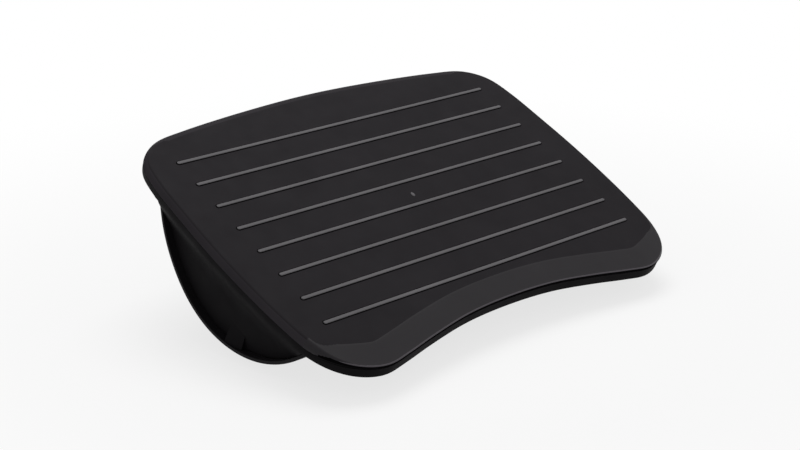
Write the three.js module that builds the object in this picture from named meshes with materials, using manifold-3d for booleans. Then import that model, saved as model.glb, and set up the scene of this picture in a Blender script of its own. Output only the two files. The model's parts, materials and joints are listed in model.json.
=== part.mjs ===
// Tilting under desk footrest: a ribbed foot platform on a curved drum that slides in a low cradle base.
// Millimetres, +Z up, +X to the user's right, +Y away from the user. The platform is held by friction.
import * as THREE from "three";
import { mergeVertices } from "three/addons/utils/BufferGeometryUtils.js";
import Module from "manifold-3d";

const wasm = await Module();
wasm.setup();

// Fits
const seatGap = 0.3;        // between two pieces that touch
const cutOverrun = 2;       // how far a cutting shape runs past what it cuts
const deg = Math.PI / 180;
const quarterTurn = 90 * deg;
const halfTurn = 180 * deg;

// Platform outline and tilt
const platformWidth = 462;
const backDepth = 166.5;    // from the middle of the ridge field to the back edge
const frontDepth = 173.5;   // from there to the front lobes
const tiltRest = 24.2 * deg;
const tiltUp = 30 * deg;    // steepest slope towards the user
const tiltBack = 15 * deg;  // steepest slope away from the user

// Top plate
const plateThick = 3;
const rollWidth = 5;        // rolled edge at the sides and the back
const rollDrop = 8;
const rollAngles = [60 * deg, 30 * deg, 12 * deg];   // where the roll's corners lie
const bandWidth = 25;       // smooth bevelled band along the front
const bandDrop = 2.4;
const bandEdge = 1.6;       // small radius on the front edge
const frontLipDrop = 4.6;
const sideLipLand = 6;      // width of the lip's under face at the sides and the back
const frontLipLand = 15;
const plateRib = 2;
const plateRibPitch = 32;
const plateRibSpan = 196;   // half length of a cross rib
const plateRibRows = 8;

// Grip strips
const stripCount = 8;
const stripLength = 388;
const stripPitch = 32.1;
const stripWidth = 3.7;
const stripSeat = 1.5;      // depth of the groove that holds a strip
const stripProud = 1;
const stripRound = 0.8;

// Housing under the plate
const wall = 2.8;
const skirtDepth = 15.5;
const shadowStep = 1.6;     // how far the front wall starts inside the lip
const shadowHeight = 1.6;
const wallInset = 0.7;      // how far the front wall then stays inside the lip
const sideWallInset = 0.2;  // at the sides and the back the wall runs on from the rolled edge
const cheekInset = 11.2;    // how far the cheeks stand inside the platform's edge
const cheekTuckDepth = 36;  // depth at which the cheek has drawn in that far
const cheekKneeInsetShare = 0.52;   // of that inset: where the cheek's profile bends
const cheekKneeDepthShare = 0.62;   // of that depth
const cheekDraft = 1.2;
const floorDrop = 12.2;     // under face of the housing floor
const floorThick = 2.8;
const floorLap = 6;         // floor that reaches in over the drum's edges
const formerThick = 2.5;
const formerShares = [-0.658, -0.263, 0.263, 0.658];    // of the half width
const formerRim = 20;       // width of the material left round a former's window

// Curved drum
const drumDrop = 82.1;      // lowest point of the drum, below the platform's face
const drumFrontLand = 23.4; // from the front edge's middle to where the arc leaves the wall's lower edge
const drumBackLand = 74.5;  // the same from the back edge
const runnerThick = 3;
const rimInset = 4.8;       // how far the drum's ends stay inside the platform's edge
const frontFillet = 3;
const backFillet = 14;
const frontFlangeShare = 0.6;   // width of the screw flange, of the room between drum and wall
const backFlangeShare = 0.4;
const lugAngle = -14.5 * deg;   // locating lug that bridges the groove beside the rim
const lugHalfAngle = 5 * deg;
const lugHeight = 24;       // over which the lug slopes back into the cheek
const lugInset = 5.1;

// Base tray and cradles
const footHeight = 4;
const trayThick = 3;
const drumLift = 10;        // lowest point of the drum above the floor
const trayHalfWidth = 155;
const trayFront = -52;      // from the arc centre
const trayBack = 112;
const trayCorner = 20;
const trayRimTop = 12;
const trayWall = 2.5;
const trayRibTop = 10;
const trayRibShares = [0.464, 0.732];   // of the tray's reach to the back
const clampPlace = 98;      // from the middle, also the middle of each cradle
const cradleHalfWidth = 29;
const cradleFrontAngle = -24 * deg;
const cradleBackAngle = 33 * deg;
const padThick = 1.5;
const padWidth = 11;
const padOffset = 21;       // pad centre from the cradle's middle
const padFrontAngle = -22 * deg;
const padBackAngle = 31 * deg;

// Friction clamps
const boltRadius = 3;
const boltHeadRadius = 6;
const boltHeadThick = 2.2;
const boltPocketDepth = 1.5;
const boltChamfer = 1;
const slotClearance = 0.5;
const linerRadius = 12;
const innerLinerThick = 1.5;
const shoeHalfLength = 17;
const shoeHalfWidth = 12;
const shoeThick = 7;
const springThick = 1;
const springRise = 1.6;
const springRadius = 8;
const washerThick = 1.4;
const washerRadius = 6.5;
const nutAcross = 10;
const nutThick = 5;
const nutCollarRadius = 4.2;
const nutCollarThick = 1.6;
const boltTail = 2;         // thread beyond the nut

// Feet
const footRadius = 12;
const footInset = 19;       // from the tray's edges
const footEase = 0.8;       // small bevel round the sole
const footStem = 3;
const footBulb = 4.2;
const footBulbHeight = 3;

// Screws
const screwRadius = 1.75;
const screwHead = 3.6;
const screwHeadThick = 2.2;
const countersinkThick = 2;
const screwHole = 2.3;
const bossRadius = 4.6;
const screwRoof = 0.6;      // plate left between a strip's groove and a screw's pilot hole
const recessWidth = 0.9;
const recessDepth = 1.2;
const recessSpanShare = 0.62;
const domeShare = 0.8;      // flat middle of a rounded head
const housingScrewShares = [[-0.78, 0.91], [0, 1], [0.78, 0.91], [-0.737, -1], [0.737, -1]];
const runnerScrewShares = [-0.79, 0, 0.79];     // of the half width
const runnerScrewInset = 6; // from the free edge of a flange

const smallRound = 10;      // sides of screws, holes and bosses
const hexSides = 6;
const clampRound = 14;      // sides of feet and clamp pieces
const drumSteps = 27;       // straight steps along the drum's arc
const filletSteps = 4;
const windowSteps = 14;
const cornerSteps = 5;
const stripEndSteps = 3;

// Half of the platform's outline, as shares of its half width and of its front or back depth
const outlineShares = [
  [0, 1], [0.366, 0.979], [0.697, 0.935], [0.838, 0.9], [0.912, 0.835], [0.958, 0.748],
  [0.983, 0.58], [0.995, 0.282], [1, 0], [0.995, -0.268], [0.98, -0.537], [0.956, -0.738],
  [0.91, -0.866], [0.833, -0.957], [0.731, -1], [0.612, -0.975], [0.459, -0.93], [0.238, -0.879],
  [0, -0.8635],
];
const outlineSteps = 2;     // straight steps between two outline points
const bandStartShare = 0.7; // of the front depth: the front band fades in from here to the lobes

// Colours
const finish = (color, roughness, metalness = 0) =>
  new THREE.MeshStandardMaterial({ color, roughness, metalness });

// Small helpers for solids
function solidOf(geometry) {
  const bare = geometry.index ? geometry.clone() : geometry;
  bare.deleteAttribute("normal");
  bare.deleteAttribute("uv");
  const merged = mergeVertices(bare);
  return new wasm.Manifold(new wasm.Mesh({
    numProp: 3,
    vertProperties: merged.attributes.position.array,
    triVerts: new Uint32Array(merged.index.array),
  }));
}

function geometryOf(solid) {
  const mesh = solid.getMesh();
  const geometry = new THREE.BufferGeometry();
  geometry.setAttribute("position", new THREE.BufferAttribute(mesh.vertProperties, mesh.numProp));
  geometry.setIndex(new THREE.BufferAttribute(mesh.triVerts, 1));
  return geometry;
}

const unite = (solids) => solids.reduce((whole, solid) => whole.add(solid));
const cutAll = (solid, cutters) => cutters.reduce((whole, cutter) => whole.subtract(cutter), solid);

function box(x0, x1, y0, y1, z0, z1) {
  const geometry = new THREE.BoxGeometry(x1 - x0, y1 - y0, z1 - z0);
  geometry.translate((x0 + x1) / 2, (y0 + y1) / 2, (z0 + z1) / 2);
  return solidOf(geometry);
}

// Turned piece about a vertical line through (x, y); the profile holds [radius, height] pairs
function turned(profile, x = 0, y = 0, sides = smallRound) {
  const points = profile.map(([radius, height]) => new THREE.Vector2(radius, height));
  const geometry = new THREE.LatheGeometry(points, sides);
  geometry.rotateX(quarterTurn);
  geometry.translate(x, y, 0);
  return solidOf(geometry);
}

const post = (radius, z0, z1, x, y, sides) =>
  turned([[0, z0], [radius, z0], [radius, z1], [0, z1]], x, y, sides);

// Points along an arc, both ends included
function arc(centreX, centreY, radius, from, to, steps) {
  return Array.from({ length: steps + 1 }, (_, i) => {
    const angle = from + (to - from) * i / steps;
    return new THREE.Vector2(centreX + radius * Math.cos(angle), centreY + radius * Math.sin(angle));
  });
}
const at = (x, y) => new THREE.Vector2(x, y);

// Outline in the Y and Z directions, drawn out along X
function drawnAlongX(points, x0, x1, holes = []) {
  const shape = new THREE.Shape(points);
  shape.holes = holes.map((hole) => new THREE.Path(hole));
  const geometry = new THREE.ExtrudeGeometry(shape, { depth: x1 - x0, bevelEnabled: false });
  const yAxis = new THREE.Vector3(0, 1, 0);
  const zAxis = new THREE.Vector3(0, 0, 1);
  const xAxis = new THREE.Vector3(1, 0, 0);
  geometry.applyMatrix4(new THREE.Matrix4().makeBasis(yAxis, zAxis, xAxis));
  geometry.translate(x0, 0, 0);
  return solidOf(geometry);
}

// Closed solid through rings of equal point counts, lowest ring first
function loft(rings) {
  const count = rings[0].length;
  const positions = rings.flat().flatMap((point) => [point.x, point.y, point.z]);
  const flat = (ring) => ring.map((point) => new THREE.Vector2(point.x, point.y));
  const faces = [];
  for (let level = 0; level + 1 < rings.length; level++) {
    for (let i = 0; i < count; i++) {
      const j = (i + 1) % count;
      const low = level * count;
      const high = low + count;
      faces.push(low + i, low + j, high + j, low + i, high + j, high + i);
    }
  }
  const top = (rings.length - 1) * count;
  for (const [a, b, c] of THREE.ShapeUtils.triangulateShape(flat(rings[0]), [])) faces.push(a, c, b);
  for (const [a, b, c] of THREE.ShapeUtils.triangulateShape(flat(rings.at(-1)), [])) {
    faces.push(top + a, top + b, top + c);
  }
  const geometry = new THREE.BufferGeometry();
  geometry.setAttribute("position", new THREE.Float32BufferAttribute(positions, 3));
  geometry.setIndex(faces);
  return solidOf(geometry);
}

// The platform's outline, counter-clockwise, with the inward direction at each point
const halfWidth = platformWidth / 2;
const depthOf = (share) => share * (share > 0 ? backDepth : frontDepth);
const lobeShare = outlineShares.find(([, y]) => y === -1)[0];
const outline = (() => {
  const right = outlineShares.map(([x, y]) => new THREE.Vector3(x * halfWidth, depthOf(y), 0));
  const left = right.slice(1, -1).map((point) => new THREE.Vector3(-point.x, point.y, 0));
  const knots = [...right].reverse().concat(left);
  const curve = new THREE.CatmullRomCurve3(knots, true, "centripetal");
  const count = knots.length * outlineSteps;
  return Array.from({ length: count }, (_, i) => {
    const point = curve.getPoint(i / count);
    const along = curve.getTangent(i / count);
    const betweenLobes = point.y < 0 && Math.abs(point.x) < lobeShare * halfWidth;
    const front = betweenLobes ? 1 : THREE.MathUtils.smoothstep(-point.y / frontDepth, bandStartShare, 1);
    return { point, inward: new THREE.Vector3(-along.y, along.x, 0), front };
  });
})();

// Ring inside the outline; both values may change from the sides to the front band
const ring = (insetAt, heightAt) => outline.map(({ point, inward, front }) => {
  const place = point.clone().addScaledVector(inward, insetAt(front));
  return place.setZ(heightAt(front));
});
const mix = (side, front) => (share) => side + (front - side) * share;
const same = (value) => () => value;
const outlinePrism = (inset, low, high) =>
  loft([low, high].map((height) => ring(same(inset), same(height))));

// The drum's arc, through its lowest point and the two places where it meets the wall's lower edge
const frontMiddle = -depthOf(outlineShares.at(-1)[1]);
const drumFront = frontMiddle - drumFrontLand;
const drumBack = backDepth - drumBackLand;
const halfChord = (drumFront + drumBack) / 2;
const sagitta = drumDrop - skirtDepth;
const drumRadius = (halfChord ** 2 + sagitta ** 2) / (2 * sagitta);
const drumCentreBack = (drumBack - drumFront) / 2;
const drumCentreUp = drumRadius - drumDrop;

// Drum values that several pieces share
const innerRadius = drumRadius - runnerThick;
const cheekRadius = innerRadius - seatGap;
const flangeTop = -floorDrop - seatGap;
const floorTop = -floorDrop + floorThick;
const underSkirt = -skirtDepth - seatGap;
const arcHeight = drumLift + drumRadius;
const seatRadius = drumRadius + seatGap + padThick + seatGap;   // top of the cradles
const deepest = drumCentreUp - drumRadius - cutOverrun;
const beyond = platformWidth + backDepth + frontDepth;          // clears every edge of the platform
const formerXs = formerShares.map((share) => share * halfWidth);
const clampXs = [-clampPlace, clampPlace];

// Where a straight under face runs into the drum's arc through a fillet, in front (-1) or behind (+1)
function filletAt(side, radius, level, fillet) {
  const centreZ = level - fillet;
  const reach = Math.sqrt((radius + fillet) ** 2 - (centreZ - drumCentreUp) ** 2);
  const centreY = drumCentreBack + side * reach;
  const angle = Math.atan2(centreZ - drumCentreUp, side * reach);
  return { centreY, centreZ, fillet, angle };
}

// Under line of the housing or drum, from front to back: straight, fillet, arc, fillet, straight
function underLine(radius, level, frontRound, backRound, frontEnd, backEnd) {
  const front = filletAt(-1, radius, level, frontRound);
  const back = filletAt(1, radius, level, backRound);
  return [
    at(frontEnd, level),
    ...arc(front.centreY, front.centreZ, frontRound, quarterTurn, front.angle + halfTurn, filletSteps),
    ...arc(drumCentreBack, drumCentreUp, radius, front.angle, back.angle, drumSteps).slice(1, -1),
    ...arc(back.centreY, back.centreZ, backRound, back.angle + halfTurn, quarterTurn, filletSteps),
    at(backEnd, level),
  ];
}

// Part of a ring round the drum's axis, across the whole width, that lies below a level
function drumSector(from, to, level) {
  const start = -halfTurn + Math.asin((drumCentreUp - level) / to);
  const end = -Math.asin((drumCentreUp - level) / to);
  const sector = drawnAlongX([
    ...arc(drumCentreBack, drumCentreUp, to, start, end, drumSteps),
    ...arc(drumCentreBack, drumCentreUp, from, end, start, drumSteps),
  ], -beyond, beyond);
  return sector.intersect(box(-beyond, beyond, -beyond, beyond, deepest - cutOverrun, level));
}

// Screw pointing up with a cross recess in its head; a countersunk one starts flush at the seat
function screwSolid(seat, tip, x, y, countersunk) {
  const head = countersunk ? seat : seat - screwHeadThick;
  const headProfile = countersunk
    ? [[0, seat], [screwHead, seat], [screwRadius, seat + countersinkThick]]
    : [[0, head], [screwHead * domeShare, head], [screwHead, seat - screwHeadThick / 2], [screwHead, seat],
      [screwRadius, seat]];
  const screw = turned([...headProfile, [screwRadius, tip - screwRadius], [0, tip]], x, y);
  const reach = screwHead * recessSpanShare;
  const half = recessWidth / 2;
  const low = head - cutOverrun;
  const high = head + recessDepth;
  const across = box(x - reach, x + reach, y - half, y + half, low, high);
  return cutAll(screw, [across, box(x - half, x + half, y - reach, y + reach, low, high)]);
}

const screwTip = -stripSeat - seatGap - screwRoof - seatGap;
const frontFlangeStart = filletAt(-1, drumRadius, -skirtDepth, frontFillet).centreY;
const backFlangeStart = filletAt(1, drumRadius, -skirtDepth, backFillet).centreY;
const innerEdge = wallInset + wall;
const frontRoom = frontMiddle + frontFlangeStart - innerEdge;
const backRoom = backDepth - backFlangeStart - innerEdge;
const frontFlangeEnd = frontFlangeStart - frontRoom * frontFlangeShare;
const backFlangeEnd = backFlangeStart + backRoom * backFlangeShare;
const runnerScrewPlaces = runnerScrewShares.flatMap((share) => [
  [share * halfWidth, frontFlangeEnd + runnerScrewInset],
  [share * halfWidth, backFlangeEnd - runnerScrewInset],
]);
const housingScrewPlaces = housingScrewShares.map(([x, y]) => {
  const insideWall = depthOf(y) - Math.sign(y) * innerEdge;
  return [x * halfWidth, (insideWall + (y > 0 ? backFlangeEnd : frontFlangeEnd)) / 2];
});
const allScrewPlaces = [...housingScrewPlaces, ...runnerScrewPlaces];

// Grip strip or its groove: a bar with round ends, each level holding [height, half breadth]
const stripPlaces = Array.from({ length: stripCount }, (_, i) => ((stripCount - 1) / 2 - i) * stripPitch);

function barAcross(y, levels) {
  const straight = (stripLength - stripWidth) / 2;
  return loft(levels.map(([height, half]) => [
    ...arc(straight, y, half, -quarterTurn, quarterTurn, stripEndSteps),
    ...arc(-straight, y, half, quarterTurn, 3 * quarterTurn, stripEndSteps),
  ].map((point) => new THREE.Vector3(point.x, point.y, height))));
}
const stripSolid = (y) => barAcross(y, [
  [-stripSeat, stripWidth / 2], [stripProud - stripRound, stripWidth / 2],
  [stripProud, stripWidth / 2 - stripRound],
]);
const grooveSolid = (y) => barAcross(y, [
  [-stripSeat - seatGap, stripWidth / 2 + seatGap], [cutOverrun, stripWidth / 2 + seatGap],
]);

// Top plate: rolled edge, front band, grooves for the strips, ribs and screw bosses below
function topPlateSolid() {
  const rings = [ring(same(0), mix(-rollDrop, -frontLipDrop))];
  rollAngles.forEach((angle, i) => {
    const frontShare = i / (rollAngles.length - 1);
    const inset = rollWidth * (1 - Math.sin(angle));
    const height = -rollDrop * (1 - Math.cos(angle));
    const frontHeight = -bandDrop - bandEdge * (1 - frontShare);
    rings.push(ring(mix(inset, bandEdge * frontShare), mix(height, frontHeight)));
  });
  rings.push(ring(mix(rollWidth, bandWidth), same(0)));
  const land = mix(sideLipLand, frontLipLand);
  const cavity = loft([ring(land, same(-rollDrop - cutOverrun)), ring(land, same(-plateThick))]);

  const ribRoot = -plateThick / 2;
  const ribBox = (x0, x1, y0, y1) => box(x0, x1, y0, y1, floorTop + seatGap, ribRoot);
  const ribEnd = (plateRibRows - 1) / 2 * plateRibPitch;
  const ribs = Array.from({ length: plateRibRows }, (_, row) => {
    const y = ribEnd - row * plateRibPitch;
    return ribBox(-plateRibSpan, plateRibSpan, y - plateRib / 2, y + plateRib / 2);
  });
  for (const x of formerXs) ribs.push(ribBox(x - plateRib / 2, x + plateRib / 2, -ribEnd, ribEnd));
  for (const [x, y] of allScrewPlaces) ribs.push(post(bossRadius, floorTop + seatGap, ribRoot, x, y));
  const pilots = allScrewPlaces.map(([x, y]) =>
    post(screwRadius + seatGap, -rollDrop - cutOverrun, screwTip + seatGap, x, y));
  const plate = loft(rings).subtract(cavity).add(unite(ribs));
  return cutAll(plate, [...stripPlaces.map(grooveSolid), ...pilots]);
}

// Housing: perimeter wall, D-shaped cheeks, floor before and behind the drum, formers across it
function housingSolid() {
  const top = mix(-rollDrop - seatGap, -frontLipDrop - seatGap);
  const below = (drop) => (share) => top(share) - drop;
  const tuckDrop = cheekTuckDepth - rollDrop;
  const kneeInset = sideWallInset + (cheekInset - sideWallInset) * cheekKneeInsetShare;
  const upperWall = [[sideWallInset, shadowStep, 0], [sideWallInset, wallInset, shadowHeight]];
  const lowerWall = [
    [sideWallInset, wallInset, skirtDepth - rollDrop],
    [kneeInset, wallInset, tuckDrop * cheekKneeDepthShare], [cheekInset, wallInset, tuckDrop],
  ];
  const insideOf = (side, front, extra) => mix(side + extra, front + extra);
  const lowest = (extra) =>
    ring(insideOf(cheekInset + cheekDraft, wallInset, extra), same(deepest - extra));
  const ringsOf = (profile, extra) => profile.map(([side, front, drop]) =>
    ring(insideOf(side, front, extra), below(drop))).reverse();
  const outer = loft([lowest(0), ...ringsOf(lowerWall, 0), ...ringsOf(upperWall, 0)]);
  const inner = loft([
    lowest(wall), ...ringsOf(lowerWall, wall),
    ring(insideOf(sideWallInset, shadowStep, wall), same(cutOverrun)),
  ]);
  const keep = drawnAlongX([
    ...underLine(cheekRadius, -skirtDepth, frontFillet, backFillet, -beyond, beyond),
    at(beyond, cutOverrun), at(-beyond, cutOverrun),
  ], -beyond, beyond);
  const room = outer.intersect(keep);
  const walls = room.subtract(inner);

  const floorSlab = box(-beyond, beyond, -beyond, beyond, -floorDrop, floorTop);
  const wellReach = Math.sqrt(innerRadius ** 2 - (drumCentreUp - flangeTop) ** 2) - floorLap;
  const well = box(-beyond, beyond, drumCentreBack - wellReach, drumCentreBack + wellReach, -skirtDepth, 0);
  const floor = floorSlab.subtract(well).intersect(room);

  const topAngle = Math.asin((drumCentreUp - floorTop) / cheekRadius);
  const windowRadius = cheekRadius - formerRim;
  const windowAngle = Math.asin((drumCentreUp - floorTop + formerRim) / windowRadius);
  const outside = arc(drumCentreBack, drumCentreUp, cheekRadius, topAngle - halfTurn, -topAngle, drumSteps);
  const window = arc(drumCentreBack, drumCentreUp, windowRadius, windowAngle - halfTurn, -windowAngle,
    windowSteps);
  const formers = formerXs.map((x) =>
    drawnAlongX(outside, x - formerThick / 2, x + formerThick / 2, [window]));

  const lugFrom = -quarterTurn + lugAngle - lugHalfAngle;
  const lugTo = lugFrom + 2 * lugHalfAngle;
  const lugRoot = cheekInset + cheekDraft + wall / 2;
  const lugFoot = drumCentreUp - cheekRadius;
  const lugSlope = loft([
    ring(same(lugInset), same(deepest)), ring(same(lugInset), same(lugFoot)),
    ring(same(lugRoot), same(lugFoot + lugHeight)),
  ]);
  const lugs = drawnAlongX([
    ...arc(drumCentreBack, drumCentreUp, cheekRadius, lugFrom, lugTo, filletSteps),
    ...arc(drumCentreBack, drumCentreUp, cheekRadius - lugHeight, lugTo, lugFrom, filletSteps),
  ], -beyond, beyond)
    .intersect(lugSlope)
    .subtract(outlinePrism(lugRoot, deepest - cutOverrun, cutOverrun));

  const skinRoom = drumSector(cheekRadius, drumRadius + 2 * seatGap, -skirtDepth);
  const holes = allScrewPlaces.map(([x, y]) => post(screwHole, -skirtDepth, 0, x, y));
  return cutAll(unite([walls, floor, ...formers, lugs]), [skinRoom, ...holes]);
}

// Curved drum: skin with bare ends, screw flanges and the two arc slots
function runnerSolid() {
  const flangeThick = skirtDepth + flangeTop;
  const front = frontFillet + flangeThick;
  const back = backFillet + flangeThick;
  const skin = drawnAlongX([
    ...underLine(drumRadius, -skirtDepth, frontFillet, backFillet, frontFlangeEnd, backFlangeEnd),
    ...underLine(innerRadius, flangeTop, front, back, frontFlangeEnd, backFlangeEnd).reverse(),
  ], -beyond, beyond).intersect(outlinePrism(rimInset, deepest, 0));
  const flangeRoom = outlinePrism(cheekInset + wall + seatGap, deepest - cutOverrun, 0);
  const skinRoom = flangeRoom.add(drumSector(innerRadius - cutOverrun, drumRadius + seatGap, underSkirt));

  const halfSlot = boltRadius + slotClearance;
  const slotFrom = -quarterTurn - tiltUp - halfSlot / drumRadius;
  const slotTo = -quarterTurn + tiltBack + halfSlot / drumRadius;
  const slots = clampXs.map((x) => drawnAlongX([
    ...arc(drumCentreBack, drumCentreUp, drumRadius + cutOverrun, slotFrom, slotTo, windowSteps),
    ...arc(drumCentreBack, drumCentreUp, innerRadius - cutOverrun, slotTo, slotFrom, windowSteps),
  ], x - halfSlot, x + halfSlot));
  const sinkRadius = screwHead + seatGap;
  const sinks = runnerScrewPlaces.map(([x, y]) => turned([
    [0, -skirtDepth - cutOverrun], [sinkRadius, -skirtDepth - cutOverrun], [sinkRadius, -skirtDepth],
    [screwHole, -skirtDepth + countersinkThick], [screwHole, 0], [0, 0],
  ], x, y));
  return cutAll(skin.intersect(skinRoom), [...slots, ...sinks]);
}

// Base pieces stand about the arc centre: y from it, z from the floor
function arcBand(outerRadius, bandInner, from, to, x0, x1, steps) {
  return drawnAlongX([
    ...arc(0, arcHeight, outerRadius, from - quarterTurn, to - quarterTurn, steps),
    ...arc(0, arcHeight, bandInner, to - quarterTurn, from - quarterTurn, steps),
  ], x0, x1);
}

// Block with a flat bottom or top and an arc for its other face
function cradleSolid(x0, x1, radius, low, from, to) {
  return drawnAlongX([
    at(radius * Math.sin(from), low), at(radius * Math.sin(to), low),
    ...arc(0, arcHeight, radius, to - quarterTurn, from - quarterTurn, windowSteps),
  ], x0, x1);
}

function roundedPlate(half, front, back, corner, low, high) {
  const corners = [[half - corner, back - corner], [corner - half, back - corner],
    [corner - half, front + corner], [half - corner, front + corner]];
  const points = corners.flatMap(([x, y], quarter) =>
    arc(x, y, corner, quarter * quarterTurn, (quarter + 1) * quarterTurn, cornerSteps));
  const level = (height) => points.map((point) => new THREE.Vector3(point.x, point.y, height));
  return loft([level(low), level(high)]);
}

const footPlaces = [trayFront + footInset, trayBack - footInset].flatMap((y) => [
  [-trayHalfWidth + footInset, y], [trayHalfWidth - footInset, y],
]);

function baseTraySolid() {
  const trayTop = footHeight + trayThick;
  const plate = roundedPlate(trayHalfWidth, trayFront, trayBack, trayCorner, footHeight, trayRimTop);
  const hollow = roundedPlate(trayHalfWidth - trayWall, trayFront + trayWall, trayBack - trayWall,
    trayCorner - trayWall, trayTop, trayRimTop + cutOverrun);
  const ribEnd = trayHalfWidth - trayWall / 2;
  const ribs = trayRibShares.map((share) =>
    box(-ribEnd, ribEnd, share * trayBack, share * trayBack + trayWall, footHeight + trayWall, trayRibTop));
  const cradles = [];
  const cuts = [];
  for (const x of clampXs) {
    const x0 = x - cradleHalfWidth;
    const x1 = x + cradleHalfWidth;
    cradles.push(cradleSolid(x0, x1, seatRadius, footHeight, cradleFrontAngle, cradleBackAngle));
    const turnIn = trayWall / seatRadius;
    const pocket = cradleSolid(x0 + trayWall, x1 - trayWall, seatRadius + trayThick,
      footHeight - cutOverrun, cradleFrontAngle + turnIn, cradleBackAngle - turnIn);
    const web = box(x - linerRadius, x + linerRadius, -linerRadius, linerRadius, 0, trayRimTop);
    cuts.push(pocket.subtract(web));
    cuts.push(post(boltRadius + seatGap, 0, trayRimTop, x, 0));
    cuts.push(post(boltHeadRadius + seatGap, 0, footHeight + boltPocketDepth, x, 0, clampRound));
  }
  for (const [x, y] of footPlaces) cuts.push(post(footStem + seatGap, 0, trayTop + cutOverrun, x, y));
  const drumRoom = solidOf(new THREE.CylinderGeometry(seatRadius, seatRadius, platformWidth, drumSteps * 3)
    .rotateZ(quarterTurn).translate(0, 0, arcHeight));
  return cutAll(unite([unite([plate.subtract(hollow), ...ribs]).subtract(drumRoom), ...cradles]), cuts);
}

// Friction clamp: head below the tray, liner, drum skin, liner, shoe, spring, washer, nut
const innerSeat = innerRadius - seatGap;
const shoeSeat = innerSeat - innerLinerThick - seatGap;
const shoeTop = arcHeight - shoeSeat + shoeThick;
const springFoot = shoeTop + seatGap;
const springTop = springFoot + springRise + springThick;
const washerFoot = springTop + seatGap;
const nutFoot = washerFoot + washerThick + seatGap;
const nutShoulder = nutFoot + nutThick;
const nutTop = nutShoulder + nutCollarThick;
const boltTop = nutTop + boltTail;
const boltSeat = footHeight + boltPocketDepth - seatGap;
const boltFoot = boltSeat - boltHeadThick;
const boltHole = boltRadius + seatGap;
const shoeHalfAngle = Math.asin(shoeHalfLength / innerSeat);

const drillBolt = (solid, x) => solid.subtract(post(boltHole, 0, boltTop, x, 0));
const linerOuterSolid = (x) => drillBolt(
  arcBand(drumRadius + seatGap + padThick, drumRadius + seatGap, -shoeHalfAngle, shoeHalfAngle,
    x - linerRadius, x + linerRadius, filletSteps)
    .intersect(post(linerRadius, 0, shoeTop, x, 0, clampRound)), x);
const linerInnerSolid = (x) => drillBolt(
  arcBand(innerSeat, innerSeat - innerLinerThick, -shoeHalfAngle, shoeHalfAngle,
    x - shoeHalfWidth, x + shoeHalfWidth, filletSteps * 2), x);
const shoeSolid = (x) => drillBolt(drawnAlongX([
  ...arc(0, arcHeight, shoeSeat, -shoeHalfAngle - quarterTurn, shoeHalfAngle - quarterTurn,
    filletSteps * 2),
  at(shoeSeat * Math.sin(shoeHalfAngle), shoeTop), at(-shoeSeat * Math.sin(shoeHalfAngle), shoeTop),
], x - shoeHalfWidth, x + shoeHalfWidth), x);
const springSolid = (x) => turned([
  [springRadius, springFoot], [springRadius, springFoot + springThick], [boltHole, springTop],
  [boltHole, springTop - springThick], [springRadius, springFoot],
], x, 0, clampRound);
const washerSolid = (x) => drillBolt(
  post(washerRadius, washerFoot, washerFoot + washerThick, x, 0, clampRound), x);
const nutSolid = (x) => drillBolt(
  post(nutAcross / Math.sqrt(3), nutFoot, nutShoulder, x, 0, hexSides)
    .add(post(nutCollarRadius, nutFoot, nutTop, x, 0)), x);
const boltSolid = (x) => turned([
  [0, boltFoot], [boltHeadRadius * domeShare, boltFoot], [boltHeadRadius, boltFoot + boltHeadThick / 2],
  [boltHeadRadius, boltSeat], [boltRadius, boltSeat], [boltRadius, boltTop - boltChamfer],
  [boltRadius - boltChamfer, boltTop], [0, boltTop],
], x, 0);

// Rubber foot: a disc under the tray with a stem and a bulb that snaps through it
const footTop = footHeight - seatGap;
const bulbFoot = footHeight + trayThick + seatGap;
const bulbTop = bulbFoot + footBulbHeight;
const footSolid = (x, y) => turned([
  [0, 0], [footRadius - footEase, 0], [footRadius, footEase], [footRadius, footTop], [footStem, footTop],
  [footStem, bulbFoot], [footBulb, bulbFoot], [footStem, bulbTop], [0, bulbTop],
], x, y, clampRound);

// Assembly
const black = 0x1a191b;
const look = {
  plate: () => finish(black, 0.62),
  housing: () => finish(0x171618, 0.66),
  runner: () => finish(0x151416, 0.55),
  strip: () => finish(0x625f63, 0.7),
  tray: () => finish(0x18181a, 0.68),
  rubber: () => finish(0x0f0f10, 0.85),
  pad: () => finish(0xbdbcb6, 0.5),
  liner: () => finish(0x4a4038, 0.9),
  shoe: () => finish(0x8f9092, 0.5, 0.9),
  steel: () => finish(0xb4b6b9, 0.32, 1),
};

const assembly = new THREE.Group();
const base = new THREE.Group();
const platform = new THREE.Group();
assembly.add(base, platform);

function addPiece(group, name, solid, material) {
  const mesh = new THREE.Mesh(geometryOf(solid), material);
  mesh.name = name;
  group.add(mesh);
}

addPiece(base, "base_tray", baseTraySolid(), look.tray());
for (const x of clampXs) {
  const name = x < 0 ? "left" : "right";
  for (const [edge, shift] of [["outer", 1], ["inner", -1]]) {
    const middle = x + Math.sign(x) * shift * padOffset;
    const pad = arcBand(drumRadius + seatGap + padThick, drumRadius + seatGap, padFrontAngle, padBackAngle,
      middle - padWidth / 2, middle + padWidth / 2, windowSteps);
    addPiece(base, `${name}_${edge}_glide_pad`, pad, look.pad());
  }
  addPiece(base, `${name}_outer_friction_liner`, linerOuterSolid(x), look.liner());
  addPiece(base, `${name}_inner_friction_liner`, linerInnerSolid(x), look.liner());
  addPiece(base, `${name}_clamp_shoe`, shoeSolid(x), look.shoe());
  addPiece(base, `${name}_disc_spring`, springSolid(x), look.steel());
  addPiece(base, `${name}_clamp_washer`, washerSolid(x), look.steel());
  addPiece(base, `${name}_clamp_nut`, nutSolid(x), look.steel());
  addPiece(base, `${name}_clamp_bolt`, boltSolid(x), look.steel());
}
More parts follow.
